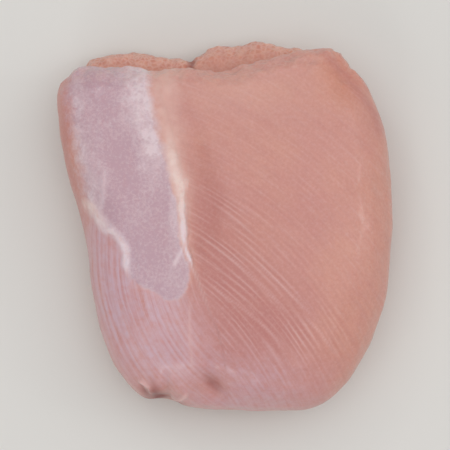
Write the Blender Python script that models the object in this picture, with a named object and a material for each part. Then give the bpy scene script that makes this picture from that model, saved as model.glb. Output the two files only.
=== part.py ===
"""Raw boneless, skinless chicken thigh, folded over once into a plump pad.

The thigh lies on its flattened underside with its smooth outer face up. It is folded like a
closed book: the roll of the fold is at the front (-Y), and the cut edges of the two layers
are at the back (+Y), where the lower layer reaches out a little. A crease between the layers
runs along both sides and the back, and fades out in the roll. X is across the thigh, Z is up,
and the origin is at the middle of the underside. All the named sizes are in millimetres.

Run it with: blender --background --python part.py
"""

import math

import bmesh
import bpy
from mathutils import Vector, noise

MM = 0.001
OBJECT_NAME = "chicken_thigh"
NODE_NAME = "thigh"

# Driving sizes
THICKNESS = 26.2
EDGE_DROP = 1.6
BACK_DROP = 3.0
BACK_DROP_START = 8.0
BACK_DROP_LENGTH = 34.0
FLAT_HALF_WIDTH = 41.0
FLAT_HALF_LENGTH = 44.0

# Outline of the upper layer from above, as (direction in degrees, reach from the middle).
# 0 is the right side, 90 the back, 180 the left side and 270 the roll at the front.
UPPER_OUTLINE = (
    (0, 41.2), (14, 41.9), (33, 46.0), (46, 49.2), (54, 50.0), (60, 50.2), (67, 46.2), (76, 42.0),
    (90, 38.4), (112, 41.6), (124, 47.6), (132, 52.2), (140, 52.0), (148, 46.8), (159, 40.6),
    (172, 35.5), (190, 33.8), (206, 35.4), (220, 38.8), (234, 43.4), (245, 45.6), (255, 44.6), (268, 44.0),
    (283, 45.0), (297, 48.4), (310, 47.6), (328, 44.6), (345, 41.7),
)

# Sizes of the rim, each as (direction in degrees, millimetres)
LOWER_REACH = (
    (0, -2.6), (45, -2.0), (60, -0.4), (66, 1.6), (72, 3.8), (82, 6.4), (91, 6.6), (97, 5.0), (102, 3.0),
    (107, 3.6), (113, 4.8), (120, 4.6), (127, 2.8), (135, -1.2), (150, -2.4), (180, -2.8), (230, -1.8),
    (255, -0.2), (285, -0.1), (315, -1.0),
)
SHOULDER_WIDTH = (
    (0, 13.0), (50, 9.5), (70, 6.0), (90, 5.4), (112, 6.0), (135, 9.5), (180, 13.0), (230, 15.0),
    (270, 15.5), (315, 14.5),
)
UPPER_RIM_HEIGHT = (
    (0, 13.4), (50, 14.6), (90, 16.4), (135, 14.0), (180, 11.6), (230, 12.6), (270, 14.2), (315, 13.6),
)
CREASE_HEIGHT = (
    (0, 6.8), (35, 8.2), (65, 11.0), (90, 12.2), (120, 10.6), (150, 7.0), (180, 5.2), (230, 7.0),
    (270, 11.6), (315, 9.0),
)
CREASE_DEPTH = (
    (0, 3.6), (35, 4.6), (65, 6.6), (90, 7.6), (120, 6.4), (150, 4.4), (180, 3.2), (215, 2.2),
    (245, 0.5), (290, 0.2), (325, 1.8),
)
LOWER_RIM_HEIGHT = (
    (0, 3.6), (35, 4.4), (65, 6.0), (90, 6.6), (120, 5.8), (150, 3.8), (180, 2.8), (230, 4.4),
    (270, 9.2), (315, 6.0),
)
FOOT_INSET = (
    (0, 4.0), (50, 4.6), (90, 4.5), (135, 4.6), (180, 4.0), (230, 7.5), (270, 12.5), (315, 8.5),
)
ROLL_BULGE = ((0, 0.0), (200, 0.0), (235, 0.2), (270, 0.5), (305, 0.4), (335, 0.0))
LIP_CURL = 0.8

# The crease wanders up and down and in and out, as (turns round the thigh, start in degrees, size)
CREASE_RISES = ((3, 40.0, 0.8), (5, 110.0, 0.6), (8, 20.0, 0.4))
CREASE_PINCHES = ((4, 75.0, 0.16), (7, 200.0, 0.2))

# Muscles and marks on the outer face, as places (x, y) from the middle of the outline
MUSCLE_SEAM = (
    (-17.4, 41.0), (-15.1, 28.5), (-12.8, 20.0), (-10.4, 13.8), (-9.0, 7.0), (-8.5, -4.9),
    (-6.5, -10.3), (-1.5, -23.6),
)
SEAM_VALLEY_SHIFT = 3.4
SEAM_VALLEY_DEPTH = 1.5
SEAM_VALLEY_WIDTH = 4.2
SEAM_FADE = 0.33
SIDE_BELLY = ((-24.0, 14.0), (9.0, 24.0), 1.1)
MAIN_BELLY = ((16.0, 2.0), (18.0, 26.0), 1.2)
FRONT_DIMPLE = ((-2.6, -37.2), (2.8, 4.2), -1.7)
CORNER_DIP = ((30.0, 37.0), (4.5, 6.0), -1.5)
TUCK_PLACE = (-14.2, -43.0, 13.0)
TUCK_SIZE = (3.0, 5.5, 7.0)
TUCK_DEPTH = 2.6

# Underside: a seam between two muscles and soft hollows, as places where the flesh isn't pressed flat
UNDER_SEAM = (
    (-1.0, 41.0), (-3.5, 30.0), (-7.0, 20.0), (-9.5, 10.0), (-11.0, 0.0), (-11.0, -10.0), (-9.0, -20.0),
    (-5.0, -31.0),
)
UNDER_SEAM_DEPTH = 2.0
UNDER_SEAM_WIDTH = 5.6
UNDER_HOLLOWS = (((17.0, 25.0), (16.0, 12.0), 1.8), ((-25.0, -9.0), (9.0, 15.0), 1.4))
UNDER_EDGE = 0.12

# Unevenness of the flesh, as (size of the bumps, height of the bumps)
UNEVENNESS = ((24.0, 1.1), (10.0, 0.5))
CUT_EDGE_UNEVENNESS = (5.0, 0.8)
CUT_EDGE_START = 34.0
CUT_EDGE_BLEND = 6.0
STILL_HEIGHT = 4.0
NOISE_START = Vector((3.1, 7.7, 1.9))

# Cells of the mesh: across each flat face, and the rows of the rim
FACE_CELLS = 36
SHOULDER_ROWS = 5
LIP_ROWS = 3
RIM_ROWS = 2 * (SHOULDER_ROWS + LIP_ROWS)

FLESH_COLOUR = (0.570, 0.275, 0.235, 1.0)
FLESH_ROUGHNESS = 0.38


def smooth_step(value):
    """0 below 0, 1 above 1, and an even ramp between."""
    clamped = min(max(value, 0.0), 1.0)
    return clamped * clamped * (3.0 - 2.0 * clamped)


def around(knots, direction):
    """Reads a smooth closed curve through (degrees, value) knots at a direction in degrees."""
    direction %= 360.0
    count = len(knots)
    index = next((i for i in range(count) if knots[i][0] > direction), 0)

    def knot(offset):
        turns, place = divmod(index + offset, count)
        angle = knots[place][0] + 360.0 * turns
        return angle, knots[place][1]

    if direction >= knots[-1][0]:
        direction -= 360.0
    before, start, end, after = (knot(offset) for offset in (-2, -1, 0, 1))
    span = end[0] - start[0]
    share = (direction - start[0]) / span
    start_slope = (end[1] - before[1]) / (end[0] - before[0]) * span
    end_slope = (after[1] - start[1]) / (after[0] - start[0]) * span
    cubed, squared = share**3, share**2
    return (
        (2 * cubed - 3 * squared + 1) * start[1]
        + (cubed - 2 * squared + share) * start_slope
        + (3 * squared - 2 * cubed) * end[1]
        + (cubed - squared) * end_slope
    )


def mound(x, y, place):
    """Height of one soft mound or hollow given as (centre, half widths, height)."""
    (cx, cy), (width, length), height = place
    return height * math.exp(-(((x - cx) / width) ** 2) - ((y - cy) / length) ** 2)


def beside_path(x, y, path):
    """Distance from a path that runs towards -Y, above 0 on its +X side, and the share passed."""
    point = Vector((x, y))
    best = None
    for index in range(len(path) - 1):
        start, end = Vector(path[index]), Vector(path[index + 1])
        along = end - start
        share = min(max((point - start).dot(along) / along.length_squared, 0.0), 1.0)
        offset = point - (start + along * share)
        if best is None or offset.length < abs(best[0]):
            side = 1.0 if along.x * offset.y - along.y * offset.x > 0.0 else -1.0
            best = (side * offset.length, (index + share) / (len(path) - 1))
    return best


def top_height(x, y):
    """Height of the outer face: a soft dome, with a valley beside the seam between two muscles."""
    height = THICKNESS
    height -= EDGE_DROP * ((x / FLAT_HALF_WIDTH) ** 2 + (y / FLAT_HALF_LENGTH) ** 2)
    height -= BACK_DROP * smooth_step((y - BACK_DROP_START) / BACK_DROP_LENGTH)
    distance, passed = beside_path(x, y, MUSCLE_SEAM)
    spread = (distance - SEAM_VALLEY_SHIFT) / SEAM_VALLEY_WIDTH
    height -= SEAM_VALLEY_DEPTH * math.exp(-spread * spread) * smooth_step((1.0 - passed) / SEAM_FADE)
    for place in (SIDE_BELLY, MAIN_BELLY, FRONT_DIMPLE, CORNER_DIP):
        height += mound(x, y, place)
    return height


def under_height(x, y):
    """How far the underside is off the ground: 0 where the flesh is pressed flat."""
    distance, _ = beside_path(x, y, UNDER_SEAM)
    height = UNDER_SEAM_DEPTH * smooth_step(1.0 - abs(distance) / UNDER_SEAM_WIDTH)
    for (cx, cy), (width, length), depth in UNDER_HOLLOWS:
        height += depth * smooth_step(1.0 - math.hypot((x - cx) / width, (y - cy) / length))
    return height


def wander(waves, direction):
    """Sum of the waves that run round the thigh, each (turns, start in degrees, size)."""
    return sum(size * math.sin(math.radians(turns * direction + start)) for turns, start, size in waves)


def rim_point(direction, down, x_of, y_of):
    """(reach from the middle, height) in the cut through the rim.

    down is 1 at the top of the shoulder, 0 in the crease and -1 at the edge of the underside.
    """
    upper_reach = around(UPPER_OUTLINE, direction)
    reach = around(LOWER_REACH, direction)
    shoulder = around(SHOULDER_WIDTH, direction)
    upper_rim = around(UPPER_RIM_HEIGHT, direction)
    rise = wander(CREASE_RISES, direction)
    crease = around(CREASE_HEIGHT, direction) + rise
    depth = around(CREASE_DEPTH, direction) * (1.0 + wander(CREASE_PINCHES, direction))
    bulge = around(ROLL_BULGE, direction)
    lower_rim = around(LOWER_RIM_HEIGHT, direction) + 0.5 * rise
    foot = around(FOOT_INSET, direction)
    lip_share = LIP_ROWS / (LIP_ROWS + SHOULDER_ROWS)
    quarter = math.pi / 2.0
    if down >= lip_share:
        turn = quarter * (1.0 - down) / (1.0 - lip_share)
        inset = shoulder * (1.0 - math.sin(turn))
        out = upper_reach - inset
        top = top_height(out * x_of, out * y_of)
        return out, upper_rim + (top - upper_rim) * math.cos(turn)
    if down >= 0.0:
        turn = quarter * (1.0 - down / lip_share)
        fall = math.sin(LIP_CURL * turn) / math.sin(LIP_CURL * quarter)
        inset = depth * (1.0 - math.cos(turn)) - bulge * math.sin(turn) ** 2
        return upper_reach - inset, upper_rim - (upper_rim - crease) * fall
    if down >= -lip_share:
        turn = quarter * (1.0 + down / lip_share)
        climb = math.sin(LIP_CURL * turn) / math.sin(LIP_CURL * quarter)
        inset = -reach + (depth + reach) * (1.0 - math.cos(turn)) - bulge * math.sin(turn) ** 2
        return upper_reach - inset, lower_rim + (crease - lower_rim) * climb
    turn = quarter * (-down - lip_share) / (1.0 - lip_share)
    inset = -reach + foot * (1.0 - math.cos(turn))
    return upper_reach - inset, lower_rim * (1.0 - math.sin(turn))


def flesh_point(a, b, down):
    """Maps a point of the starting cube, from -1 to 1 each way, to its place on the thigh."""
    u = a * math.sqrt(1.0 - b * b / 2.0)
    v = b * math.sqrt(1.0 - a * a / 2.0)
    share = min(math.hypot(u, v), 1.0)
    turn = math.atan2(v, u)
    direction = math.degrees(turn)
    x_of, y_of = math.cos(turn), math.sin(turn)
    if abs(down) < 1.0:
        out, height = rim_point(direction, down, x_of, y_of)
        return Vector((out * x_of, out * y_of, height))
    edge, _ = rim_point(direction, down, x_of, y_of)
    out = share * edge
    x, y = out * x_of, out * y_of
    if down > 0.0:
        return Vector((x, y, top_height(x, y)))
    return Vector((x, y, under_height(x, y) * smooth_step((1.0 - share) / UNDER_EDGE)))


def make_cube_mesh(bm):
    """A cube with FACE_CELLS cells across its top and underside, and RIM_ROWS rows round its sides."""
    bmesh.ops.create_cube(bm, size=2.0)
    level = [e for e in bm.edges if abs(e.verts[0].co.z - e.verts[1].co.z) < 1e-6]
    bmesh.ops.subdivide_edges(bm, edges=level, cuts=FACE_CELLS - 1, use_grid_fill=True)
    upright = [e for e in bm.edges if abs(e.verts[0].co.z - e.verts[1].co.z) > 1.0]
    bmesh.ops.subdivide_edges(bm, edges=upright, cuts=RIM_ROWS - 1, use_grid_fill=True)


def roughen(bm):
    """Moves the surface in and out by soft noise, more at the cut edges and none on the underside."""
    bm.normal_update()
    moves = []
    for vert in bm.verts:
        _, y, height = vert.co
        move = 0.0
        for size, amount in UNEVENNESS:
            move += amount * noise.noise(vert.co / size + NOISE_START)
        size, amount = CUT_EDGE_UNEVENNESS
        at_cut_edge = smooth_step((y - CUT_EDGE_START) / CUT_EDGE_BLEND)
        move += at_cut_edge * amount * noise.noise(vert.co / size)
        moves.append(move * smooth_step(height / STILL_HEIGHT))
    for vert, move in zip(bm.verts, moves):
        vert.co += vert.normal * move


def press_tuck(bm):
    """Presses in the pocket at the front, where the end of the side muscle is tucked under."""
    tuck = Vector(TUCK_PLACE)
    inwards = Vector((-tuck.x, -tuck.y, 0.0)).normalized()
    across = Vector((-inwards.y, inwards.x, 0.0))
    for vert in bm.verts:
        offset = vert.co - tuck
        spread = (offset.dot(across) / TUCK_SIZE[0]) ** 2
        spread += (offset.dot(inwards) / TUCK_SIZE[1]) ** 2
        spread += (offset.z / TUCK_SIZE[2]) ** 2
        vert.co += inwards * TUCK_DEPTH * math.exp(-spread)


def centre_on_ground(bm):
    """Puts the middle of the outline over the origin."""
    middle = Vector()
    for axis in range(2):
        places = [vert.co[axis] for vert in bm.verts]
        middle[axis] = (min(places) + max(places)) / 2.0
    bmesh.ops.translate(bm, vec=-middle, verts=bm.verts)


def make_thigh_mesh():
    """The folded thigh as one closed mesh, in metres."""
    bm = bmesh.new()
    make_cube_mesh(bm)
    for vert in bm.verts:
        vert.co = flesh_point(*vert.co)
    roughen(bm)
    press_tuck(bm)
    centre_on_ground(bm)
    bmesh.ops.scale(bm, vec=(MM, MM, MM), verts=bm.verts)
    bmesh.ops.triangulate(bm, faces=bm.faces)
    bmesh.ops.recalc_face_normals(bm, faces=bm.faces)
    mesh = bpy.data.meshes.new(NODE_NAME)
    bm.to_mesh(mesh)
    bm.free()
    mesh.shade_smooth()
    return mesh


def make_flesh_material():
    """Moist pale pink flesh."""
    material = bpy.data.materials.new("raw_flesh")
    material.use_nodes = True
    shader = material.node_tree.nodes["Principled BSDF"]
    shader.inputs["Base Color"].default_value = FLESH_COLOUR
    shader.inputs["Roughness"].default_value = FLESH_ROUGHNESS
    shader.inputs["Metallic"].default_value = 0.0
    return material


def main():
    for old in list(bpy.data.objects):
        bpy.data.objects.remove(old)
    parts = bpy.data.collections.new(OBJECT_NAME)
    bpy.context.scene.collection.children.link(parts)
    thigh = bpy.data.objects.new(NODE_NAME, make_thigh_mesh())
    thigh.data.materials.append(make_flesh_material())
    parts.objects.link(thigh)


main()
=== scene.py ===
"""Looks of a raw boneless, skinless chicken thigh, folded over once and lying on its flat underside.

The flesh is the plain solid made smooth and dense, then shaped in millimetres: bundles of fibres,
the seam between two muscles with its ridge of fat, the silver skin beside it, the dimple and the
tucked end at the front, and the ragged cut edges at the back. Each of those shapes is also kept on
the mesh as an attribute, and the finish reads them for its colours, so shape and colour agree.

X is across the thigh, +Y points to the cut edges of its two layers, and +Z is up.
"""

import math

import bmesh
import bpy
import numpy as np
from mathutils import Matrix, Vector, noise
from mathutils.bvhtree import BVHTree


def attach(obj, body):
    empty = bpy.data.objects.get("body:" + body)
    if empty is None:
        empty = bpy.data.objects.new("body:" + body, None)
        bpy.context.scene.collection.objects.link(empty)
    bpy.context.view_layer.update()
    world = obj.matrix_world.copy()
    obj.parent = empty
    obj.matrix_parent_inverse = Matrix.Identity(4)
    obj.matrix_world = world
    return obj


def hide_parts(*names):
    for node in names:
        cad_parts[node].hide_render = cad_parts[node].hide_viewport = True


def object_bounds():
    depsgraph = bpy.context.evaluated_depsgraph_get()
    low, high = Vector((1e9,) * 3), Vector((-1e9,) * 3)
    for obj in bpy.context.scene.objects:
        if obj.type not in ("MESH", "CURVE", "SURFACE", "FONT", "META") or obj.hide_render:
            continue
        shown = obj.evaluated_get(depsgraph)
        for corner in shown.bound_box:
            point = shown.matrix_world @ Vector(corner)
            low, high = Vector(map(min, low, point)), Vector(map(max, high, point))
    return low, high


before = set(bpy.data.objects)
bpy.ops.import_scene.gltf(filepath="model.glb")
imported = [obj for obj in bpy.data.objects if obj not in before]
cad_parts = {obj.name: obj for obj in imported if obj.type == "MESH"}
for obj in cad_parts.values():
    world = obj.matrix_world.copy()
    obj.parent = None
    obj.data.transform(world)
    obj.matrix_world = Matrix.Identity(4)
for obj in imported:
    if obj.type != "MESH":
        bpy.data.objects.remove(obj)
cad_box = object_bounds()

MM = 0.001
NODE = "thigh"
BODY = "root"

# Width of one cell of the flesh mesh, and rounds of smoothing
CELL = 0.48
CELL_ROUNDS = 3
HUG_ROUNDS = 25
HOLLOW_ROUNDS = 40

# The crease is found in this many directions round the thigh, and is this high where it can't be seen
CREASE_BINS = 72
FRONT_CREASE = 10.5

# Lines on the outer face, as places (x, y) in millimetres, from the back to the front
MUSCLE_SEAM = (
    (-17.6, 50.0), (-16.6, 37.8), (-15.6, 32.0), (-13.1, 25.0), (-11.5, 17.2), (-10.0, 11.8), (-9.5, 7.1),
    (-9.3, 0.9), (-8.4, -5.4), (-7.4, -10.0), (-6.1, -13.9), (-4.1, -19.4), (-2.2, -24.0), (-0.2, -32.0),
    (0.8, -50.0),
)
SIDE_LINE = ((-7.9, -14.8), (-8.3, -20.0), (-8.3, -26.0), (-8.0, -31.0), (-7.2, -37.3))
SEAM_FORK = ((-9.4, -4.3), (-10.6, -6.6), (-12.0, -9.3))
FAT_RIDGE = (
    (-15.0, 50.0), (-14.6, 37.5), (-14.7, 30.0), (-14.1, 26.3), (-13.2, 20.6), (-12.4, 15.4), (-11.5, 12.0),
    (-10.8, 9.8), (-10.4, 6.0), (-10.0, 1.0), (-9.7, -4.0), (-8.5, -8.0), (-7.6, -10.6), (-6.8, -12.8),
)
SIDE_FAT = (
    (-34.6, 7.4), (-33.2, 5.2), (-31.0, 3.0), (-29.6, 1.2), (-28.2, -0.5), (-26.2, -2.0), (-24.4, -4.2),
    (-23.5, -6.7), (-23.4, -10.0), (-22.7, -12.8),
)
SIDE_FAT_FORK = ((-28.4, 14.5), (-28.8, 9.0), (-29.1, 6.0), (-29.9, 2.2))
FOLD_LINES = (
    ((-13.2, -40.2), (-12.6, -41.6), (-11.2, -42.1), (-9.8, -41.2), (-8.8, -39.4)),
    ((-21.6, -37.2), (-19.6, -37.8), (-18.0, -39.2), (-17.3, -41.6)),
)
LIGHT_FIBRES = (
    ((-5.7, -11.8), (-0.2, -16.5), (4.4, -20.0), (12.2, -26.7), (15.5, -31.0)),
    ((4.4, -6.6), (9.1, -10.6), (16.9, -17.6), (24.6, -25.6)),
    ((17.2, -20.0), (22.6, -25.6), (27.4, -32.8)),
    ((-3.4, -3.6), (3.5, -9.6), (9.8, -15.4), (17.6, -24.4)),
)

# Painted shade along two rims of the outer face
SHADED_RIMS = (
    ((21.0, 43.5), (27.0, 38.0), (32.0, 32.0), (36.0, 26.0), (37.8, 18.0)),
    (
        (-39.6, 34.0), (-39.2, 26.0), (-37.8, 14.0), (-36.0, 6.0), (-34.6, -4.0), (-33.2, -14.0),
        (-30.6, -24.0),
    ),
)

# Seam between two muscles of the underside
UNDER_SEAM = (
    (-1.3, 41.0), (-3.8, 30.0), (-7.3, 20.0), (-9.8, 10.0), (-11.3, 0.0), (-11.3, -10.0), (-9.3, -20.0),
    (-5.3, -31.0),
)

# Outline of the silver skin, from its corner at the back of the seam down the seam and round
SILVER_SKIN = (
    (-18.0, 50.0), (-17.3, 37.8), (-16.7, 32.0), (-15.7, 26.3), (-14.4, 21.0), (-13.5, 17.3), (-12.8, 13.5),
    (-12.3, 9.8), (-11.4, 6.0), (-10.8, 1.0), (-10.4, -4.0), (-9.0, -8.0), (-7.9, -10.8), (-8.4, -13.6),
    (-9.3, -16.2), (-10.9, -17.9), (-12.8, -18.2), (-14.6, -17.7), (-16.6, -16.4), (-19.4, -14.9),
    (-21.2, -13.8), (-22.7, -12.8), (-23.4, -10.0), (-23.3, -6.7), (-24.2, -4.2), (-26.0, -2.0),
    (-28.0, -0.5), (-29.4, 1.2), (-30.8, 3.0), (-32.8, 5.2), (-34.0, 9.5),
    (-35.2, 15.5), (-36.7, 23.4), (-38.2, 31.2), (-38.0, 37.0), (-36.5, 50.0),
)

# Half widths of the fat, as (place from front to back, half width), or as (share of its path, half width)
RIDGE_WIDTHS = ((-12.0, 0.4), (-4.0, 0.7), (1.0, 0.9), (6.0, 1.2), (10.0, 1.8), (26.0, 1.7))
CREAM_WIDTHS = ((-12.0, 0.8), (0.0, 1.4), (8.0, 2.6), (18.0, 3.0), (38.0, 4.6))
SIDE_FAT_WIDTHS = ((0.0, 0.9), (0.2, 1.7), (0.35, 1.6), (0.55, 1.0), (0.72, 1.3), (1.0, 0.5))

# Centres that the fibres of each muscle curve round
MAIN_FLOW = (-52.0, -74.0)
SIDE_FLOW = (22.0, -6.0)
LOWER_FLOW = (60.0, -160.0)
FLOW_REACH = 150.0
SIDE_REACH = 50.0

# Soft regions, each as (centre, half widths, strength)
VEIL_PLACES = (
    ((-26.0, -15.0), (7.5, 15.0), 1.0), ((-16.0, -30.0), (12.0, 9.0), 0.8),
    ((5.0, -38.0), (16.0, 7.0), 0.55), ((-30.0, -4.0), (4.0, 8.0), 0.75),
    ((-17.0, -20.0), (8.0, 6.0), 0.9), ((2.0, -43.5), (18.0, 3.5), 0.4),
)
VEIL_GAPS = (((-2.6, -38.4), (4.0, 3.0), 0.7), ((-16.4, -41.0), (4.2, 2.6), 0.9))
LINED_PLACES = (
    ((7.0, -15.0), (13.0, 15.0), 0.8), ((18.0, -27.0), (11.0, 7.0), 0.7), ((-2.0, -3.0), (9.0, 11.0), 0.9),
    ((-25.0, -18.0), (7.0, 16.0), 0.6), ((-13.0, -30.0), (9.0, 9.0), 0.35),
)
# Whiter silver skin, partly thicker membrane and partly painted sheen
WHITE_AND_SHEEN_SILVER = (
    ((-19.6, 34.0), (4.4, 8.0), 0.9), ((-17.6, 21.0), (3.2, 9.0), 0.75), ((-35.4, 24.0), (2.4, 12.0), 0.5),
    ((-32.5, 17.0), (3.5, 6.0), 0.3), ((-31.3, 6.8), (2.0, 4.0), 0.45), ((-12.2, 5.0), (1.0, 8.0), 0.35),
)
# Darker meat: partly deeper red beside the seam, partly painted shade in the valley, towards the front and
# at the back right corner
DEEP_AND_SHADE_PLACES = (
    ((-4.5, 2.0), (5.0, 15.0), 0.6), ((-1.0, -14.0), (7.5, 12.0), 0.8), ((6.0, -24.0), (15.0, 11.0), 0.95),
    ((4.0, -34.0), (18.0, 8.0), 0.45), ((10.0, 2.0), (12.0, 12.0), 0.2), ((-13.0, -26.0), (5.0, 8.0), 0.35),
    ((34.0, 30.0), (2.0, 8.0), 0.25),
)
PALE_PLACES = (((2.0, 33.0), (16.0, 8.0), 0.25),)
# Painted warm reflected light along the right side and the back right of the outer face
WARM_BOUNCE_PLACES = (
    ((38.0, 4.0), (9.0, 30.0), 1.0), ((24.0, 34.0), (16.0, 10.0), 0.6), ((32.0, -30.0), (9.0, 14.0), 0.8),
)

# Small marks, each as (centre, half widths, turn in degrees, height or strength)
DIMPLE = ((-2.6, -38.6), (3.4, 1.5), -51.0, -1.1)
CURLS = (
    ((-16.0, -38.6), (1.8, 1.8), 0.0, 0.5), ((-10.8, -39.6), (1.8, 1.6), 20.0, 0.5),
    ((-15.6, -42.2), (2.4, 1.1), -22.0, -0.9), ((-13.6, -38.6), (0.7, 3.0), 8.0, -0.45),
    ((-19.6, -40.4), (0.8, 2.6), 25.0, -0.5), ((-6.6, -40.8), (0.8, 2.4), 25.0, -0.35),
)
CORNER_HOLLOW = ((29.0, 36.0), (1.4, 4.2), -35.0, -0.35)
# Painted shade on the back right corner, where the flesh turns steeply down
CORNER_SHADE = ((28.0, 37.0), (5.0, 6.5), 0.0, 1.3)
# Painted shade in the folds of the tucked end and in the dimple
FOLD_SHADE = (
    ((-15.8, -42.0), (3.6, 1.9), -22.0, 1.1), ((-19.4, -40.4), (0.8, 2.4), 25.0, 0.6),
    ((-16.4, -39.6), (1.4, 2.6), 20.0, 0.6),
    ((-2.6, -38.9), (2.6, 1.1), -51.0, 0.5), ((-12.0, -43.4), (3.0, 0.6), 0.0, 0.4),
)

# Bundles of fibres, as (pitch across the fibres, length along them, height)
BUNDLES = ((5.2, 60.0, 0.12), (2.6, 40.0, 0.06))
SILVER_STREAKS = (1.1, 9.0, 0.05)

# Unevenness of the flesh, as (size, height)
LUMPS = ((11.0, 0.16), (4.5, 0.09), (1.8, 0.045))
EDGE_LUMPS = ((3.6, 0.6), (1.8, 0.35), (1.0, 0.2))
SIDE_HOLLOWS = (8.0, 0.4)
CREASE_WRINKLES = (2.3, 0.6)

# How far fat, skin, lines and curled lips stand out, and how deep the crease and the seam are
RIDGE_HEIGHT = 0.5
SIDE_FAT_HEIGHT = 0.4
LIP_HEIGHT = 0.5
LINE_HEIGHT = 0.12
SILVER_HEIGHT = 0.14
CREASE_BITE = 0.9
SEAM_DEPTH = 0.35
LOBE_GAP_DEPTH = 1.1


def tint(red, green, blue):
    """A colour from its eight-bit screen values, as the linear values that shaders take."""
    linear = []
    for value in (red, green, blue):
        share = value / 255.0
        linear.append(share / 12.92 if share <= 0.04045 else ((share + 0.055) / 1.055) ** 2.4)
    return (*linear, 1.0)


MEAT_PINK = tint(206, 147, 137)
# Tan of the meat, also used for painted warm reflected light
MEAT_TAN_AND_BOUNCE = tint(211, 153, 137)
# Deeper red of the meat, also used for painted shade
MEAT_DEEP_AND_SHADE = tint(182, 115, 110)
FIBRE_LIGHT = tint(222, 184, 181)
VEIL_LILAC = tint(207, 175, 187)
SILVER_LILAC = tint(188, 156, 168)
# Whiter silver skin, also used for painted sheen
SILVER_WHITE_AND_SHEEN = tint(223, 205, 211)
CREAM_FASCIA = tint(222, 181, 171)
CREAM_FAT = tint(232, 207, 200)
FAT_WHITE = tint(229, 212, 218)
# Paler cut edges, partly painted highlight
EDGE_PALE_AND_HIGHLIGHT = tint(222, 172, 150)
# Dark red of the painted shade in hollows
CREVICE_SHADE_RED = tint(138, 64, 58)
# Warmer colour of the layer under, partly painted warm reflected light, also used for painted shade on the
# back corner
LOWER_PINK_BOUNCE_AND_SHADE = tint(208, 138, 114)
FLOOR_PALE = tint(224, 222, 218)
FLOOR_GREY = tint(217, 215, 211)

# Streaks along the fibres, as (pitch, length)
STREAKS = {"fine": (0.7, 16.0), "wide": (2.6, 34.0), "sheen": (1.3, 7.0)}

# Even lines along the fibres, and how they wander, as (pitch, length, most lines to either side)
LINE_PITCH = 1.4
LINE_WANDER = (5.0, 70.0, 1.2)

# Grains of the flesh and of the floor, as (lumps to a metre, detail, roughness)
GRAINS = {
    "patchy": (70.0, 3.0, 0.5),
    "blotches": (420.0, 2.0, 0.6),
    "flecks": (560.0, 3.0, 0.7),
    "web": (640.0, 2.0, 0.6),
    "lobes": (800.0, 2.0, 0.6),
    "speckle": (1500.0, 2.0, 0.6),
}
PORES = (1100.0, 3.0, 0.6)
DENTS = (260.0, 2.0, 0.5)
WET_PATCHES = (90.0, 2.0, 0.5)
FLOOR_GRAIN = (9.0, 2.0, 0.5)
FIBRE_END_SCALE = 820.0

# Faint layers of colour in the meat, as (grain, where it starts, where it is full, strength, colour)
MEAT_LAYERS = (
    ("wide", 0.5, 0.28, 0.16, MEAT_DEEP_AND_SHADE),
    ("flecks", 0.55, 0.3, 0.12, MEAT_DEEP_AND_SHADE),
    ("speckle", 0.5, 0.3, 0.16, MEAT_DEEP_AND_SHADE),
    ("speckle", 0.5, 0.7, 0.14, FIBRE_LIGHT),
    ("fine", 0.52, 0.75, 0.16, FIBRE_LIGHT),
    ("line", 0.2, 1.0, 0.34, FIBRE_LIGHT),
    ("line", 0.2, -1.0, 0.36, MEAT_DEEP_AND_SHADE),
)

# Strength of each part of the fine surface, and the height of the whole
SURFACE_PARTS = {"fine": 0.45, "sheen": 0.2, "line": 0.25}
MOIST_SHARE = 0.7
FAT_SHARE = 0.8
SURFACE_HEIGHT = 0.16
SURFACE_STRENGTH = 0.55

# The room: strength of its even light, and soft lights as (name, place, size, power)
ROOM_LIGHT = 0.46
LIGHTS = (
    ("ceiling", (0.1, 0.3, 1.2), 1.8, 8.5),
    ("front_fill", (-0.6, -0.8, 0.6), 0.9, 1.8),
    ("side_fill", (0.95, 0.2, 0.6), 0.9, 1.2),
    ("lamp_0", (-0.45, 0.6, 0.75), 0.14, 0.3),
    ("lamp_1", (0.75, 0.1, 0.6), 0.14, 0.3),
    ("lamp_2", (-0.2, -0.7, 0.6), 0.14, 0.3),
)
FLOOR_DROP = 0.1
FLOOR_REACH = 3000.0
LENS = 200.0
VIEW_MARGIN = 1.18


# Measuring and shaping in millimetres


def smooth_step(value):
    """0 below 0, 1 above 1, and an even ramp between."""
    share = np.clip(value, 0.0, 1.0)
    return share * share * (3.0 - 2.0 * share)


def bell(distance, width):
    """1 at no distance, falling off to both sides over the given width."""
    return np.exp(-((distance / width) ** 2))


def tapered(share, rate):
    """Strength along a path that fades in at its start and out at its end."""
    return smooth_step(rate * share) * smooth_step(rate - rate * share)


def width_at(value, widths):
    """The half width at a value, between the pairs of a list of (value, half width)."""
    return np.interp(value, *zip(*widths))


def rounded(path, steps=6):
    """The points of a smooth curve through a path."""
    ends = [2.0 * np.array(path[0]) - path[1], 2.0 * np.array(path[-1]) - path[-2]]
    knots = np.array([ends[0], *path, ends[1]])
    points = []
    for before, start, end, after in zip(knots, knots[1:], knots[2:], knots[3:]):
        for step in range(steps):
            share = step / steps
            points.append(
                0.5 * (2.0 * start + (end - before) * share
                       + (2.0 * before - 5.0 * start + 4.0 * end - after) * share**2
                       + (3.0 * start - before - 3.0 * end + after) * share**3)
            )
    points.append(knots[-2])
    return np.array(points)


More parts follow.
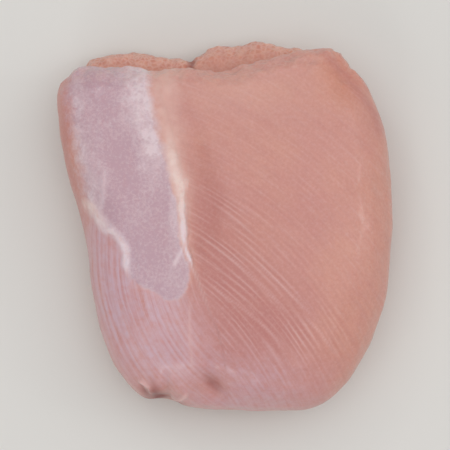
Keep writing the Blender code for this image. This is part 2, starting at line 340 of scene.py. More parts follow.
def beside_path(places, path):
    """Distance from a path, above 0 on the +X side of one that runs towards -Y, and the share passed."""
    steps = np.diff(path, axis=0)
    lengths = np.linalg.norm(steps, axis=1)
    before = np.concatenate(([0.0], np.cumsum(lengths)))
    gap = np.full(len(places), np.inf)
    side = np.ones(len(places))
    passed = np.zeros(len(places))
    for start, step, length, run in zip(path, steps, lengths, before):
        offset = places - start
        along = np.clip(offset @ step / length**2, 0.0, 1.0)
        reach = np.linalg.norm(offset - along[:, None] * step, axis=1)
        nearer = reach < gap
        turn = step[0] * offset[:, 1] - step[1] * offset[:, 0]
        gap = np.where(nearer, reach, gap)
        side = np.where(nearer, np.where(turn > 0.0, 1.0, -1.0), side)
        passed = np.where(nearer, run + along * length, passed)
    return gap * side, passed / before[-1]


def inside_outline(places, outline):
    """Distance inside a closed outline, below 0 outside it."""
    closed = np.array([*outline, outline[0]])
    gap, _ = beside_path(places, closed)
    within = np.zeros(len(places), bool)
    x, y = places.T
    for (x0, y0), (x1, y1) in zip(closed, closed[1:]):
        crosses = (y0 > y) != (y1 > y)
        rise = (y - y0) / (y1 - y0 if y1 != y0 else 1.0)
        within ^= crosses & (x < x0 + rise * (x1 - x0))
    return np.abs(gap) * np.where(within, 1.0, -1.0)


def region(places, parts):
    """Strength from 0 to 1 of soft oval regions, each (centre, half widths, strength)."""
    free = np.ones(len(places))
    for centre, halves, most in parts:
        offset = (places - np.array(centre)) / np.array(halves)
        free *= 1.0 - most * np.exp(-(offset**2).sum(axis=1))
    return 1.0 - free


def mark(places, centre, halves, turn, height):
    """Height of a turned oval bump or hollow."""
    angle = math.radians(turn)
    offset = places - np.array(centre)
    along = offset[:, 0] * math.cos(angle) + offset[:, 1] * math.sin(angle)
    across = offset[:, 1] * math.cos(angle) - offset[:, 0] * math.sin(angle)
    return height * np.exp(-((along / halves[0]) ** 2) - (across / halves[1]) ** 2)


def lumps(places, size, start=0.0):
    """Soft noise from about -1 to 1, in lumps of the given size."""
    return np.array([noise.noise(place) for place in (places / size + start).tolist()])


def streaks(fibres, pitch, length, start=0.0):
    """Soft noise from about -1 to 1, drawn out along the fibres."""
    return lumps(fibres, np.array([length, pitch, 1.0]), start)


def smoothed(values, edges, rounds):
    """Values of the vertices after rounds of averaging with their neighbours."""
    count = np.bincount(edges.ravel(), minlength=len(values)).astype(float)
    for _ in range(rounds):
        total = np.zeros_like(values)
        for axis in range(values.shape[1]):
            total[:, axis] += np.bincount(edges[:, 0], values[edges[:, 1], axis], len(values))
            total[:, axis] += np.bincount(edges[:, 1], values[edges[:, 0], axis], len(values))
        values = 0.5 * values + 0.5 * total / count[:, None]
    return values


# The flesh


def keep_main_shell(mesh):
    """Deletes the tiny hollows that the cells leave shut inside the end of the crease."""
    bm = bmesh.new()
    bm.from_mesh(mesh)
    waiting = set(bm.verts)
    shells = []
    while waiting:
        shell = []
        nearby = {waiting.pop()}
        while nearby:
            shell.extend(nearby)
            nearby = {edge.other_vert(vert) for vert in nearby for edge in vert.link_edges} & waiting
            waiting -= nearby
        shells.append(shell)
    shells.sort(key=len)
    strays = [vert for shell in shells[:-1] for vert in shell]
    bmesh.ops.delete(bm, geom=strays, context="VERTS")
    bm.to_mesh(mesh)
    bm.free()


def dense_copy(solid):
    """A smooth and evenly dense copy of a plain solid, as a mesh."""
    bm = bmesh.new()
    bm.from_mesh(solid.data)
    bmesh.ops.remove_doubles(bm, verts=bm.verts, dist=0.001 * MM)
    bmesh.ops.join_triangles(
        bm,
        faces=bm.faces,
        angle_face_threshold=math.radians(40.0),
        angle_shape_threshold=math.radians(50.0),
    )
    mesh = bpy.data.meshes.new("plain_form")
    bm.to_mesh(mesh)
    bm.free()
    form = bpy.data.objects.new("plain_form", mesh)
    bpy.context.scene.collection.objects.link(form)
    rounding = form.modifiers.new("rounding", "SUBSURF")
    rounding.levels = rounding.render_levels = 2
    cells = form.modifiers.new("cells", "REMESH")
    cells.mode = "VOXEL"
    cells.voxel_size = CELL * MM
    dense = bpy.data.meshes.new_from_object(form.evaluated_get(bpy.context.evaluated_depsgraph_get()))
    bpy.data.objects.remove(form)
    bpy.data.meshes.remove(mesh)
    keep_main_shell(dense)
    return dense


def read_mesh(mesh):
    """Places and normals of a mesh's vertices, and its edges, with places in millimetres."""
    places = np.zeros(len(mesh.vertices) * 3)
    mesh.vertices.foreach_get("co", places)
    normals = np.zeros(len(mesh.vertices) * 3)
    mesh.vertex_normals.foreach_get("vector", normals)
    edges = np.zeros(len(mesh.edges) * 2, int)
    mesh.edges.foreach_get("vertices", edges)
    return places.reshape(-1, 3) / MM, normals.reshape(-1, 3), edges.reshape(-1, 2)


def hug_solid(places, edges, solid):
    """Moves a smoothed form back out to the solid that it was made from, without its flat facets."""
    corners = [vertex.co / MM for vertex in solid.data.vertices]
    facets = [tuple(facet.vertices) for facet in solid.data.polygons]
    surface = BVHTree.FromPolygons(corners, facets)
    nearest = np.array([surface.find_nearest(place)[0] for place in places.tolist()])
    return places + smoothed(nearest - places, edges, HUG_ROUNDS)


def crease_height(places, normals, hollow):
    """Height, over or under each place, of the crease between the two layers."""
    turn = np.degrees(np.arctan2(places[:, 1], places[:, 0])) % 360.0
    weight = np.clip(hollow, 0.0, None) ** 3 * (np.abs(normals[:, 2]) < 0.9)
    weight *= (places[:, 2] > 3.0) & (places[:, 2] < 18.0)
    bins = (turn / 360.0 * CREASE_BINS).astype(int) % CREASE_BINS
    total = np.bincount(bins, weight, CREASE_BINS)
    heights = np.bincount(bins, weight * places[:, 2], CREASE_BINS)
    known = 0.02 * total.max()
    heights = (heights + known * FRONT_CREASE) / (total + known)
    heights = (np.roll(heights, 1) + heights + np.roll(heights, -1)) / 3.0
    middles = (np.arange(CREASE_BINS) + 0.5) * 360.0 / CREASE_BINS
    return np.interp(turn, middles, heights, period=360.0)


def fibre_places(places, is_main, is_lower):
    """Places measured along and across the fibres of the muscle that they are in."""
    centres = np.where(is_main[:, None], MAIN_FLOW, SIDE_FLOW)
    centres = np.where(is_lower[:, None], LOWER_FLOW, centres)
    offset = places[:, :2] - centres
    across = np.linalg.norm(offset, axis=1)
    mirror = np.where(is_main | is_lower, 1.0, -1.0)
    turn = mirror * np.arctan2(offset[:, 1], offset[:, 0] * mirror)
    layer = 20.0 * is_main + 40.0 * is_lower
    reach = np.where(is_main | is_lower, FLOW_REACH, SIDE_REACH)
    return np.column_stack((turn * reach + places[:, 2], across, layer))


class Survey:
    """What is known of every vertex of the flesh: its place, its slope, and where on the thigh it lies."""

    def __init__(self, mesh, solid):
        places, self.normals, edges = read_mesh(mesh)
        self.places = hug_solid(smoothed(places, edges, CELL_ROUNDS), edges, solid)
        self.flat = self.places[:, :2]
        self.x, self.y, self.z = self.places.T
        self.up = self.normals[:, 2]

        inward = smoothed(self.places, edges, HOLLOW_ROUNDS) - self.places
        self.hollow = (inward * self.normals).sum(axis=1)
        # How far each place lies in a hollow, where the finish paints shade
        self.crevice_shade = smooth_step(self.hollow / 1.1)
        self.above = self.z - crease_height(self.places, self.normals, self.hollow)
        self.on_top = smooth_step(self.above / 1.5 + 0.5)
        self.facing_up = smooth_step((self.up + 0.1) / 0.5) * self.on_top
        self.at_back = smooth_step((self.normals[:, 1] - 0.1) / 0.6) * smooth_step((self.y - 30.0) / 8.0)

        self.seam_gap, _ = beside_path(self.flat, rounded(MUSCLE_SEAM))
        self.ridge_gap, _ = beside_path(self.flat, rounded(FAT_RIDGE))
        self.ridge_run = smooth_step((self.y + 13.0) / 5.0) * smooth_step((26.0 - self.y) / 14.0)
        self.fibres = fibre_places(self.places, self.seam_gap > 0.0, self.above < 0.0)
        self.wavy = 0.25 * lumps(self.places, 2.2, 31.0)

    def line(self, path, half_width, rate):
        """Strength of a thin line along a path that fades out at both ends."""
        gap, share = beside_path(self.flat, rounded(path))
        return bell(gap, half_width) * tapered(share, rate)


def silver_skin(flesh):
    """Strength of the silver skin, over 1 well inside it, and of its bright rim at the front."""
    inside = inside_outline(flesh.flat, SILVER_SKIN)
    inside += 0.5 * lumps(flesh.places, 2.6, 5.0) + 0.22 * lumps(flesh.places, 0.9, 9.0)
    outer = smooth_step((-27.0 - flesh.x) / 6.0) * smooth_step((flesh.y - 2.0) / 8.0)
    back = smooth_step((flesh.y - 6.0) / 14.0) * smooth_step((flesh.x + 24.0) / 6.0)
    fade = 0.7 + 3.0 * outer + 1.6 * back
    rim = bell(inside - 0.3, 0.5) * smooth_step((3.0 - flesh.y) / 8.0)
    return np.minimum((inside + 1.8 * outer) / fade, 4.0 * flesh.on_top - 1.5), rim


def seam_ridge(flesh):
    """Strength of the ridge of fat along the muscle seam."""
    half_width = width_at(flesh.y, RIDGE_WIDTHS) + 0.35 * lumps(flesh.places, 3.0, 3.0)
    ridge = bell(flesh.ridge_gap + flesh.wavy, half_width) * flesh.ridge_run * flesh.facing_up
    return ridge * (0.9 + 0.35 * lumps(flesh.places, 4.0, 41.0))


def cream_fascia(flesh):
    """Strength of the cream film beside the ridge, which widens to the back."""
    half_width = width_at(flesh.y, CREAM_WIDTHS)
    cream = bell(flesh.ridge_gap + flesh.wavy, half_width) * smooth_step((flesh.y + 12.0) / 8.0)
    cream *= 0.9 + 0.4 * lumps(flesh.places, 1.6, 33.0) + 0.3 * lumps(flesh.places, 5.0, 35.0)
    return np.maximum(cream, region(flesh.flat, PALE_PLACES)) * flesh.facing_up


def side_fat(flesh):
    """Strength of the thin fat along the outer side of the silver skin."""
    gap, share = beside_path(flesh.flat, rounded(SIDE_FAT))
    half_width = width_at(share, SIDE_FAT_WIDTHS) + 0.3 * lumps(flesh.places, 2.0, 12.0)
    fat = bell(gap + flesh.wavy, half_width) * flesh.facing_up
    fat *= smooth_step(7.0 * share) * smooth_step(6.2 - 6.0 * share)
    return fat * (0.85 + 0.3 * lumps(flesh.places, 3.0, 43.0))


def under_fat(flesh):
    """Strength of the broken line of fat along the seam of the underside."""
    gap, _ = beside_path(flesh.flat, rounded(UNDER_SEAM))
    fat = bell(gap + 3.0 * flesh.wavy, 1.6) * smooth_step(0.6 + lumps(flesh.places, 5.0, 91.0))
    return fat * smooth_step((-flesh.up - 0.3) / 0.5) * smooth_step((flesh.y + 34.0) / 8.0)


def curled_lips(flesh):
    """Strength of the pale lips that curl round the tucked end."""
    return np.max([flesh.line(path, 0.5, 4.0) for path in FOLD_LINES], axis=0)


def white_lines(flesh, silver_rim, lips):
    """Strength of thin pale lines: forks of fat, ends of seams, single fibres, lips and the silver rim."""
    fork_gap, _ = beside_path(flesh.flat, rounded(SEAM_FORK))
    side_gap, side_share = beside_path(flesh.flat, rounded(SIDE_FAT_FORK))
    seam_end = smooth_step((flesh.y + 27.0) / 14.0) * smooth_step((-9.0 - flesh.y) / 3.0)
    lines = [0.32 * flesh.line(path, 0.26, 3.0) for path in LIGHT_FIBRES]
    lines += [
        0.8 * bell(fork_gap + 0.5 * flesh.wavy, 0.5),
        0.45 * bell(side_gap + flesh.wavy, 0.6) * smooth_step(3.0 * side_share),
        0.3 * flesh.line(SIDE_LINE, 0.35, 4.0),
        0.42 * bell(flesh.seam_gap, 0.35) * seam_end,
        0.4 * silver_rim * (0.6 + 0.6 * lumps(flesh.places, 3.0, 71.0)),
        0.85 * lips,
    ]
    return np.max(lines, axis=0) * flesh.facing_up


def lobe_gap(flesh):
    """Strength of the gap between the two lobes of the lower cut edge."""
    below = (1.0 - flesh.on_top) * smooth_step((flesh.y - 33.0) / 4.0)
    return bell(flesh.x + 8.4 + flesh.wavy, 0.9) * below


def deep_meat_and_shade(flesh):
    """Strength of the darker flesh past the seam, partly deeper red and partly painted shade of the valley
    and towards the front, and of painted shade along two rims.
    """
    past_seam = smooth_step(flesh.seam_gap / 3.0 + 0.3 + 2.0 * smooth_step((-10.0 - flesh.y) / 8.0))
    deep_and_shade = region(flesh.flat, DEEP_AND_SHADE_PLACES) * flesh.facing_up * past_seam
    return np.max([deep_and_shade, *(0.6 * flesh.line(path, 1.4, 5.0) for path in SHADED_RIMS)], axis=0)


def painted_crevice_shade(flesh, lobes):
    """Strength of the painted shade, in dark red, in the crease, in the gap between the lobes, in the folds
    of the tucked end and in the dimple.
    """
    folds = sum(mark(flesh.flat, *place) for place in FOLD_SHADE) * smooth_step((flesh.z - 5.0) / 5.0)
    return np.max([flesh.crevice_shade, 0.8 * lobes, folds], axis=0)


def veil_and_lower(flesh):
    """Strength of the pale veil on the outer face, and of the warmer colour of the layer under it, partly
    painted warm reflected light, with painted shade on the back corner.
    """
    front = smooth_step((-8.0 - flesh.y) / 22.0)
    upper = smooth_step(flesh.above / (1.5 + 12.0 * front) + 0.5)
    veil = region(flesh.flat, VEIL_PLACES) * (1.0 - region(flesh.flat, VEIL_GAPS)) * upper
    veil *= smooth_step((flesh.up + 0.4) / 0.6)
    lower = (1.0 - upper) * (0.4 + 0.6 * smooth_step((flesh.y - 10.0) / 22.0))
    return veil, np.maximum(lower, mark(flesh.flat, *CORNER_SHADE) * flesh.facing_up)


def line_strength(flesh):
    """Strength of the even fibre lines, which come and go along the fibres."""
    lined = (0.1 + 0.9 * region(flesh.flat, LINED_PLACES)) * smooth_step(flesh.up / 0.5)
    return lined * np.clip(0.75 + 1.2 * streaks(flesh.fibres, 3.0, 18.0, 67.0), 0.15, 1.3)


def fibre_relief(flesh, in_silver):
    """Height of the bundles of fibres, which show less under the silver skin."""
    pitch, length, height = SILVER_STREAKS
    relief = height * in_silver * streaks(flesh.fibres, pitch, length, 51.0)
    for number, (pitch, length, height) in enumerate(BUNDLES):
        relief += height * streaks(flesh.fibres, pitch, length, 7.0 * number) * (1.0 - 0.7 * in_silver)
    return relief


def uneven_relief(flesh):
    """Height of the soft lumps, of the ragged cut edges and of the hollows of the sides."""
    size, height = SIDE_HOLLOWS
    sloped = smooth_step((0.8 - np.abs(flesh.up)) / 0.4) * (1.0 - bell(flesh.up, 0.35))
    relief = -height * sloped * smooth_step(0.5 + lumps(flesh.places, size, 81.0))
    for number, (size, height) in enumerate(LUMPS):
        relief += height * lumps(flesh.places, size, 11.0 * number)
    for number, (size, height) in enumerate(EDGE_LUMPS):
        relief += height * flesh.at_back * lumps(flesh.places, size, 17.0 + 3.0 * number)
    return relief


def crease_relief(flesh, lobes):
    """Depth of the crease between the two layers and of the gap between the lobes."""
    size, height = CREASE_WRINKLES
    relief = height * flesh.crevice_shade * lumps(flesh.places * np.array([1.0, 1.0, 0.35]), size, 23.0)
    relief -= CREASE_BITE * smooth_step(flesh.hollow / 1.6) * bell(flesh.above, 3.0)
    return relief - LOBE_GAP_DEPTH * lobes


def raised_relief(flesh, ridge, side, lines, lips, in_silver):
    """Height of fat, lines and skin, the groove beside the ridge, and the marks of the front and corner."""
    relief = RIDGE_HEIGHT * ridge * (1.0 + 0.4 * lumps(flesh.places, 1.5, 2.0))
    relief += SIDE_FAT_HEIGHT * side * (1.0 + 0.5 * lumps(flesh.places, 1.4, 4.0))
    relief += LINE_HEIGHT * lines + SILVER_HEIGHT * in_silver + LIP_HEIGHT * lips
    relief -= SEAM_DEPTH * bell(flesh.seam_gap - 1.7, 1.2) * flesh.ridge_run * flesh.facing_up
    marks = sum(mark(flesh.flat, *place) for place in (DIMPLE, *CURLS, CORNER_HOLLOW))
    return relief + marks * smooth_step((flesh.z - 9.0) / 5.0)


def raise_flesh(mesh, flesh, relief):
    """Moves the flesh by its relief, less near the underside, and never out of the plain form's box."""
    relief = relief * smooth_step(flesh.z / 1.5)
    low, high = (np.array(corner) / MM for corner in cad_box)
    places = np.clip(flesh.places + flesh.normals * relief[:, None], low, high)
    mesh.vertices.foreach_set("co", (places * MM).ravel())
    mesh.update()


def shape_flesh(mesh, solid):
    """Shapes the dense mesh and returns its masks, by name."""
    flesh = Survey(mesh, solid)
    silver, silver_rim = silver_skin(flesh)
    in_silver = smooth_step(silver)
    ridge = seam_ridge(flesh)
    side = side_fat(flesh)
    lips = curled_lips(flesh)
    lines = white_lines(flesh, silver_rim, lips)
    lobes = lobe_gap(flesh)
    relief = fibre_relief(flesh, in_silver) + uneven_relief(flesh) + crease_relief(flesh, lobes)
    raise_flesh(mesh, flesh, relief + raised_relief(flesh, ridge, side, lines, lips, in_silver))
    veil, lower = veil_and_lower(flesh)
    return {
        "silver": silver,
        # Whiter silver skin, partly painted sheen
        "bright": region(flesh.flat, WHITE_AND_SHEEN_SILVER),
        "cream": cream_fascia(flesh),
        "fat": np.maximum(ridge, side) + 0.7 * under_fat(flesh),
        "pale": smooth_step((8.0 - flesh.y) / 12.0),
        "lines": lines,
        "veil": veil,
        "deep_and_shade": deep_meat_and_shade(flesh),
        # Painted warm reflected light along the right side
        "tan": region(flesh.flat, WARM_BOUNCE_PLACES),
        "crevice_shade": painted_crevice_shade(flesh, lobes),
        "cut_edge": flesh.at_back * (1.0 - 0.65 * flesh.on_top),
        "lower": lower,
        "lined": line_strength(flesh),
        "fibres": flesh.fibres,
    }


def keep_masks(mesh, masks):
    """Keeps each mask on the mesh as an attribute, for the finish to read."""
    for name, values in masks.items():
        if values.ndim == 2:
            mesh.attributes.new(name, "FLOAT_VECTOR", "POINT").data.foreach_set("vector", values.ravel())
        else:
            mesh.attributes.new(name, "FLOAT", "POINT").data.foreach_set("value", values.astype(np.float32))


def make_flesh(solid):
    mesh = dense_copy(solid)
    keep_masks(mesh, shape_flesh(mesh, solid))
    mesh.shade_smooth()
    mesh.name = "flesh"
    flesh = bpy.data.objects.new("flesh", mesh)
    bpy.context.scene.collection.objects.link(flesh)
    return flesh


# Finishes


class Graph:
    """Short ways to add shader nodes to one node tree."""

    def __init__(self, tree):
        self.tree = tree

    def add(self, kind, **settings):
        node = self.tree.nodes.new(kind)
        for name, value in settings.items():
            setattr(node, name, value)
        return node

    def feed(self, socket, source):
        """Links a source socket into a socket, or sets the socket to a plain value."""
        if isinstance(source, bpy.types.NodeSocket):
            self.tree.links.new(source, socket)
        else:
            socket.default_value = source

    def math(self, operation, *values, clamp=False):
        node = self.add("ShaderNodeMath", operation=operation, use_clamp=clamp)
        for socket, value in zip(node.inputs, values):
            self.feed(socket, value)
        return node.outputs[0]

    def blend(self, share, first, second):
        """A colour between two colours."""
        node = self.add("ShaderNodeMix", data_type="RGBA")
        for name, value in (("Factor_Float", share), ("A_Color", first), ("B_Color", second)):
            self.feed(next(s for s in node.inputs if s.identifier == name), value)
        return next(s for s in node.outputs if s.identifier == "Result_Color")

    def span(self, value, low, high, start=0.0, end=1.0):
        """Maps a value from low..high to start..end, and no further."""
        node = self.add("ShaderNodeMapRange")
        names = ("Value", "From Min", "From Max", "To Min", "To Max")
        for name, number in zip(names, (value, low, high, start, end)):
            self.feed(node.inputs[name], number)
        return node.outputs["Result"]

    def grain(self, places, scale, detail=2.0, roughness=0.5):
        """Noise from 0 to 1 on the given places."""
        node = self.add("ShaderNodeTexNoise")
        self.feed(node.inputs["Vector"], places)
        for name, number in (("Scale", scale), ("Detail", detail), ("Roughness", roughness)):
            node.inputs[name].default_value = number
        return node.outputs["Fac"]

    def cells(self, places, scale):
        """Distance to the nearest border of a pattern of rounded cells."""
        node = self.add("ShaderNodeTexVoronoi", feature="DISTANCE_TO_EDGE")
        self.feed(node.inputs["Vector"], places)
        node.inputs["Scale"].default_value = scale
        return node.outputs["Distance"]

    def mask(self, name, output="Fac"):
        return self.add("ShaderNodeAttribute", attribute_name=name).outputs[output]

    def total(self, *values):
        """The sum of values, kept from 0 to 1."""
        so_far = values[0]
        for value in values[1:]:
            so_far = self.math("ADD", so_far, value, clamp=value is values[-1])
        return so_far


def new_group(name, inputs, outputs):
    """An empty node group with float or vector sockets, and the ends to wire it between."""
    tree = bpy.data.node_groups.new(name, "ShaderNodeTree")
    for socket, kind in inputs:
        tree.interface.new_socket(socket, in_out="INPUT", socket_type=kind)
    for socket, kind in outputs:
        tree.interface.new_socket(socket, in_out="OUTPUT", socket_type=kind)
    graph = Graph(tree)
    return tree, graph, graph.add("NodeGroupInput"), graph.add("NodeGroupOutput")


def make_streak_group():
    """Fine light and dark streaks along the fibres, from places along and across them in millimetres."""
    tree, graph, given, made = new_group(
        "fibre_streaks",
        (("Fibres", "NodeSocketVector"), ("Pitch", "NodeSocketFloat"), ("Length", "NodeSocketFloat")),
        (("Streak", "NodeSocketFloat"),),
    )
    parts = graph.add("ShaderNodeSeparateXYZ")
    graph.feed(parts.inputs[0], given.outputs["Fibres"])
    drawn = graph.add("ShaderNodeCombineXYZ")
    graph.feed(drawn.inputs[0], graph.math("DIVIDE", parts.outputs[0], given.outputs["Length"]))
    graph.feed(drawn.inputs[1], graph.math("DIVIDE", parts.outputs[1], given.outputs["Pitch"]))
    graph.feed(drawn.inputs[2], parts.outputs[2])
    graph.feed(made.inputs["Streak"], graph.grain(drawn.outputs[0], 1.0, 2.0, 0.6))
    return tree


def make_line_group():
    """Fine even lines along the fibres that wander a little, from -1 in the gaps to 1 on the lines."""
    tree, graph, given, made = new_group(
        "fibre_lines",
        (("Fibres", "NodeSocketVector"), ("Pitch", "NodeSocketFloat")),
        (("Line", "NodeSocketFloat"),),
    )
    parts = graph.add("ShaderNodeSeparateXYZ")
    graph.feed(parts.inputs[0], given.outputs["Fibres"])
    pitch, length, most = LINE_WANDER
    drawn = graph.add("ShaderNodeCombineXYZ")
    graph.feed(drawn.inputs[0], graph.math("DIVIDE", parts.outputs[0], length))
    graph.feed(drawn.inputs[1], graph.math("DIVIDE", parts.outputs[1], pitch))
    graph.feed(drawn.inputs[2], parts.outputs[2])
    wander = graph.span(graph.grain(drawn.outputs[0], 1.0, 1.0), 0.0, 1.0, -most, most)
    turns = graph.math("ADD", graph.math("DIVIDE", parts.outputs[1], given.outputs["Pitch"]), wander)
    graph.feed(made.inputs["Line"], graph.math("SINE", graph.math("MULTIPLY", turns, math.tau)))
    return tree


def make_moist_group():
    """The fine pores and wet patches of raw flesh: a height, and a change of roughness."""
    tree, graph, given, made = new_group(
        "moist_surface",
        (("Places", "NodeSocketVector"),),
        (("Height", "NodeSocketFloat"), ("Roughness", "NodeSocketFloat")),
    )
    pores = graph.grain(given.outputs["Places"], *PORES)
    dents = graph.grain(given.outputs["Places"], *DENTS)
    wet = graph.grain(given.outputs["Places"], *WET_PATCHES)
    graph.feed(made.inputs["Height"], graph.math("ADD", graph.math("MULTIPLY", pores, 0.35), dents))
    graph.feed(made.inputs["Roughness"], graph.span(wet, 0.35, 0.65, -0.07, 0.07))
    return tree


def use_group(graph, tree, **values):
    node = graph.add("ShaderNodeGroup", node_tree=tree)
    for name, value in values.items():
        graph.feed(node.inputs[name], value)
    return node


def flesh_grains(graph, places, streak_group, line_group):
    """Every streak, line and grain of the flesh, by name."""
    fibres = graph.mask("fibres", "Vector")
    grains = {name: graph.grain(places, *sizes) for name, sizes in GRAINS.items()}
    for name, (pitch, length) in STREAKS.items():
        streak = use_group(graph, streak_group, Fibres=fibres, Pitch=pitch, Length=length)
        grains[name] = streak.outputs["Streak"]
    line = use_group(graph, line_group, Fibres=fibres, Pitch=LINE_PITCH).outputs["Line"]
    grains["line"] = graph.math("MULTIPLY", line, graph.mask("lined"))
    return grains


def colour_meat(graph, grains):
    """Pink flesh with faint fibres: more tan at random, and at the right side as painted warm reflected
    light; warmer below, partly painted warm reflected light, with painted shade on the back corner; darker
    beside the seam, partly deeper red and partly painted shade.
    """
    # More tan at random, and painted warm reflected light along the right side
    warm = graph.total(graph.span(grains["patchy"], 0.4, 0.75), graph.mask("tan"))
    colour = graph.blend(warm, MEAT_PINK, MEAT_TAN_AND_BOUNCE)
    # The layer under it is warmer, partly its own tone and partly painted warm reflected light; painted
    # shade on the back corner
    colour = graph.blend(graph.math("MULTIPLY", graph.mask("lower"), 0.7), colour, LOWER_PINK_BOUNCE_AND_SHADE)
    # Darker beside the seam, partly deeper red and partly painted shade, and painted shade towards the
    # front and along two rims
    colour = graph.blend(graph.math("MULTIPLY", graph.mask("deep_and_shade"), 0.8), colour, MEAT_DEEP_AND_SHADE)
    for name, start, full, strength, tone in MEAT_LAYERS:
        colour = graph.blend(graph.span(grains[name], start, full, 0.0, strength), colour, tone)
    return colour


def lay_veil(graph, grains, colour):
    """A thin lilac film over part of the flesh, streaked along the fibres and open in fine gaps."""
    veil = graph.mask("veil")
    sheen = graph.span(grains["sheen"], 0.3, 0.62, 0.3, 0.65)
    flecks = graph.span(grains["flecks"], 0.3, 0.65, 0.0, 0.5)
    lined = graph.span(grains["line"], -0.6, 0.6, -0.28, 0.28)
    streaky = graph.math("ADD", graph.math("ADD", sheen, flecks), lined)
    colour = graph.blend(graph.math("MULTIPLY", veil, streaky, clamp=True), colour, VEIL_LILAC)
    thick = graph.math("MULTIPLY", veil, graph.span(grains["fine"], 0.46, 0.66, 0.0, 0.3))
    colour = graph.blend(thick, colour, SILVER_LILAC)
    gaps = graph.math("MULTIPLY", veil, graph.span(grains["fine"], 0.54, 0.36, 0.0, 0.34))
    return graph.blend(gaps, colour, MEAT_DEEP_AND_SHADE)


def colour_silver_skin(graph, grains):
    """Lilac skin with whiter blotches, partly thicker membrane and partly painted sheen, specks, and a fine
    web of painted wet sheen.
    """
    # A fine web of painted wet sheen
    web = graph.math("ABSOLUTE", graph.math("SUBTRACT", grains["web"], 0.5))
    blotches = graph.span(grains["blotches"], 0.35, 0.62, 0.6, 1.5)
    light = graph.total(
        graph.math("MULTIPLY", graph.mask("bright"), blotches),
        graph.span(web, 0.06, 0.0, 0.0, 0.2),
        graph.span(grains["speckle"], 0.4, 0.7, -0.08, 0.17),
        graph.span(grains["patchy"], 0.35, 0.65, -0.1, 0.18),
    )
    return graph.blend(light, SILVER_LILAC, SILVER_WHITE_AND_SHEEN)


def lay_cut_edge(graph, grains, places, colour):
    """Paler flesh at the cut edges, partly its own paler tissue and partly painted highlight on the faces
    that turn to the back, with the ends of its fibres.
    """
    cut_edge = graph.mask("cut_edge")
    # Pale flecks at the cut edges: paler torn tissue and painted highlight on the back faces
    torn = graph.math("MULTIPLY", cut_edge, graph.span(grains["flecks"], 0.4, 0.65, 0.0, 0.6))
    colour = graph.blend(torn, colour, EDGE_PALE_AND_HIGHLIGHT)
    fibre_ends = graph.span(graph.cells(places, FIBRE_END_SCALE), 0.02, 0.3, 0.3, 0.0)
    return graph.blend(graph.math("MULTIPLY", cut_edge, fibre_ends), colour, CREAM_FAT)


def shape_surface(graph, shader, grains, moist, fat):
    """The fine relief of fibres, pores and fat."""
    height = graph.math("MULTIPLY", moist.outputs["Height"], MOIST_SHARE)
    height = graph.math("ADD", height, graph.math("MULTIPLY", fat, FAT_SHARE))
    for name, share in SURFACE_PARTS.items():
        height = graph.math("ADD", height, graph.math("MULTIPLY", grains[name], share))
    bump = graph.add("ShaderNodeBump")
    bump.inputs["Strength"].default_value = SURFACE_STRENGTH
    bump.inputs["Distance"].default_value = SURFACE_HEIGHT * MM
    graph.feed(bump.inputs["Height"], height)
    graph.feed(shader.inputs["Normal"], bump.outputs["Normal"])


def make_soft_and_wet(shader):
    """Light sinks into raw flesh a little, and a thin film of juice lies on it."""
    shader.inputs["Subsurface Weight"].default_value = 0.18
    shader.inputs["Subsurface Radius"].default_value = (1.0, 0.36, 0.26)
    shader.inputs["Subsurface Scale"].default_value = 3.0 * MM
    shader.inputs["IOR"].default_value = 1.4
    shader.inputs["Specular IOR Level"].default_value = 0.25
    shader.inputs["Coat Weight"].default_value = 0.5
    shader.inputs["Coat Roughness"].default_value = 0.19


def make_flesh_finish(streak_group, line_group, moist_group):
    material = bpy.data.materials.new("raw_thigh_flesh")
    material.use_nodes = True
    graph = Graph(material.node_tree)
    shader = material.node_tree.nodes["Principled BSDF"]
    places = graph.add("ShaderNodeTexCoord").outputs["Object"]
    grains = flesh_grains(graph, places, streak_group, line_group)

    colour = lay_veil(graph, grains, colour_meat(graph, grains))
    colour = graph.blend(graph.math("MULTIPLY", graph.mask("cream"), 0.75), colour, CREAM_FASCIA)
    loose = graph.span(grains["flecks"], 0.25, 0.75, -0.3, 0.3)
    covered = graph.span(graph.math("ADD", graph.mask("silver"), loose), 0.0, 1.0, 0.0, 0.88)
    colour = graph.blend(covered, colour, colour_silver_skin(graph, grains))
    lobes = graph.span(grains["lobes"], 0.25, 0.75, 0.75, 1.45)
    fat = graph.span(graph.math("MULTIPLY", graph.mask("fat"), lobes), 0.1, 1.0, 0.0, 0.88)
    colour = graph.blend(fat, colour, graph.blend(graph.mask("pale"), CREAM_FAT, FAT_WHITE))
    colour = graph.blend(graph.mask("lines"), colour, graph.blend(covered, FIBRE_LIGHT, SILVER_WHITE_AND_SHEEN))
    colour = lay_cut_edge(graph, grains, places, colour)
    # Painted shade, in dark red, in the crease, the gap between the lobes, the folds of the tucked end and
    # the dimple
    colour = graph.blend(graph.math("MULTIPLY", graph.mask("crevice_shade"), 0.85), colour, CREVICE_SHADE_RED)
    graph.feed(shader.inputs["Base Color"], colour)

    moist = use_group(graph, moist_group, Places=places)
    roughness = graph.math("ADD", moist.outputs["Roughness"], graph.span(covered, 0.0, 1.0, 0.44, 0.36))
    graph.feed(shader.inputs["Roughness"], roughness)
    shape_surface(graph, shader, grains, moist, fat)
    make_soft_and_wet(shader)
    return material


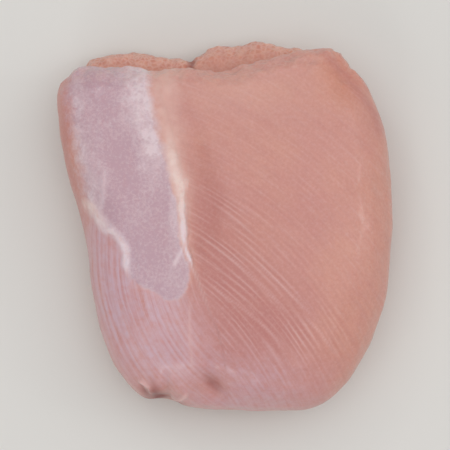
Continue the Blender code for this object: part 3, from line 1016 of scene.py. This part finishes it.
def make_floor_finish():
    material = bpy.data.materials.new("pale_floor")
    material.use_nodes = True
    graph = Graph(material.node_tree)
    shader = material.node_tree.nodes["Principled BSDF"]
    places = graph.add("ShaderNodeTexCoord").outputs["Object"]
    shade = graph.grain(places, *FLOOR_GRAIN)
    graph.feed(shader.inputs["Base Color"], graph.blend(shade, FLOOR_PALE, FLOOR_GREY))
    shader.inputs["Roughness"].default_value = 0.7
    return material


# The room


def make_floor():
    bm = bmesh.new()
    bmesh.ops.create_grid(bm, x_segments=1, y_segments=1, size=FLOOR_REACH * MM)
    bmesh.ops.translate(bm, verts=bm.verts, vec=(0.0, 0.0, -FLOOR_DROP * MM))
    mesh = bpy.data.meshes.new("floor")
    bm.to_mesh(mesh)
    bm.free()
    floor = bpy.data.objects.new("floor", mesh)
    floor.data.materials.append(make_floor_finish())
    bpy.context.scene.collection.objects.link(floor)


def add_light(name, place, size, power):
    """A square soft light at a place, facing the thigh."""
    light = bpy.data.lights.new(name, "AREA")
    light.size = size
    light.energy = power
    lamp = bpy.data.objects.new(name, light)
    lamp.location = place
    lamp.rotation_euler = (-Vector(place)).to_track_quat("-Z", "Y").to_euler()
    bpy.context.scene.collection.objects.link(lamp)


def light_room():
    world = bpy.data.worlds.new("soft_room")
    world.use_nodes = True
    world.node_tree.nodes["Background"].inputs["Color"].default_value = (1.0, 1.0, 1.0, 1.0)
    world.node_tree.nodes["Background"].inputs["Strength"].default_value = ROOM_LIGHT
    bpy.context.scene.world = world
    for light in LIGHTS:
        add_light(*light)
    bpy.context.scene.view_settings.view_transform = "Standard"


def aim_camera():
    """Looks straight down, with the cut edges at the top of the picture."""
    camera = bpy.data.cameras.new("camera")
    camera.lens = LENS
    camera.clip_start = 0.01
    low, high = cad_box
    across = (high - low).y * VIEW_MARGIN
    stand_off = across / 2.0 / math.tan(math.atan(camera.sensor_width / 2.0 / camera.lens))
    stand = bpy.data.objects.new("camera", camera)
    stand.location = ((low.x + high.x) / 2.0, (low.y + high.y) / 2.0, high.z + stand_off)
    bpy.context.scene.collection.objects.link(stand)
    bpy.context.scene.camera = stand


def main():
    flesh = make_flesh(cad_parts[NODE])
    finish = make_flesh_finish(make_streak_group(), make_line_group(), make_moist_group())
    flesh.data.materials.append(finish)
    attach(flesh, BODY)
    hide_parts(NODE)
    make_floor()
    light_room()
    aim_camera()


main()
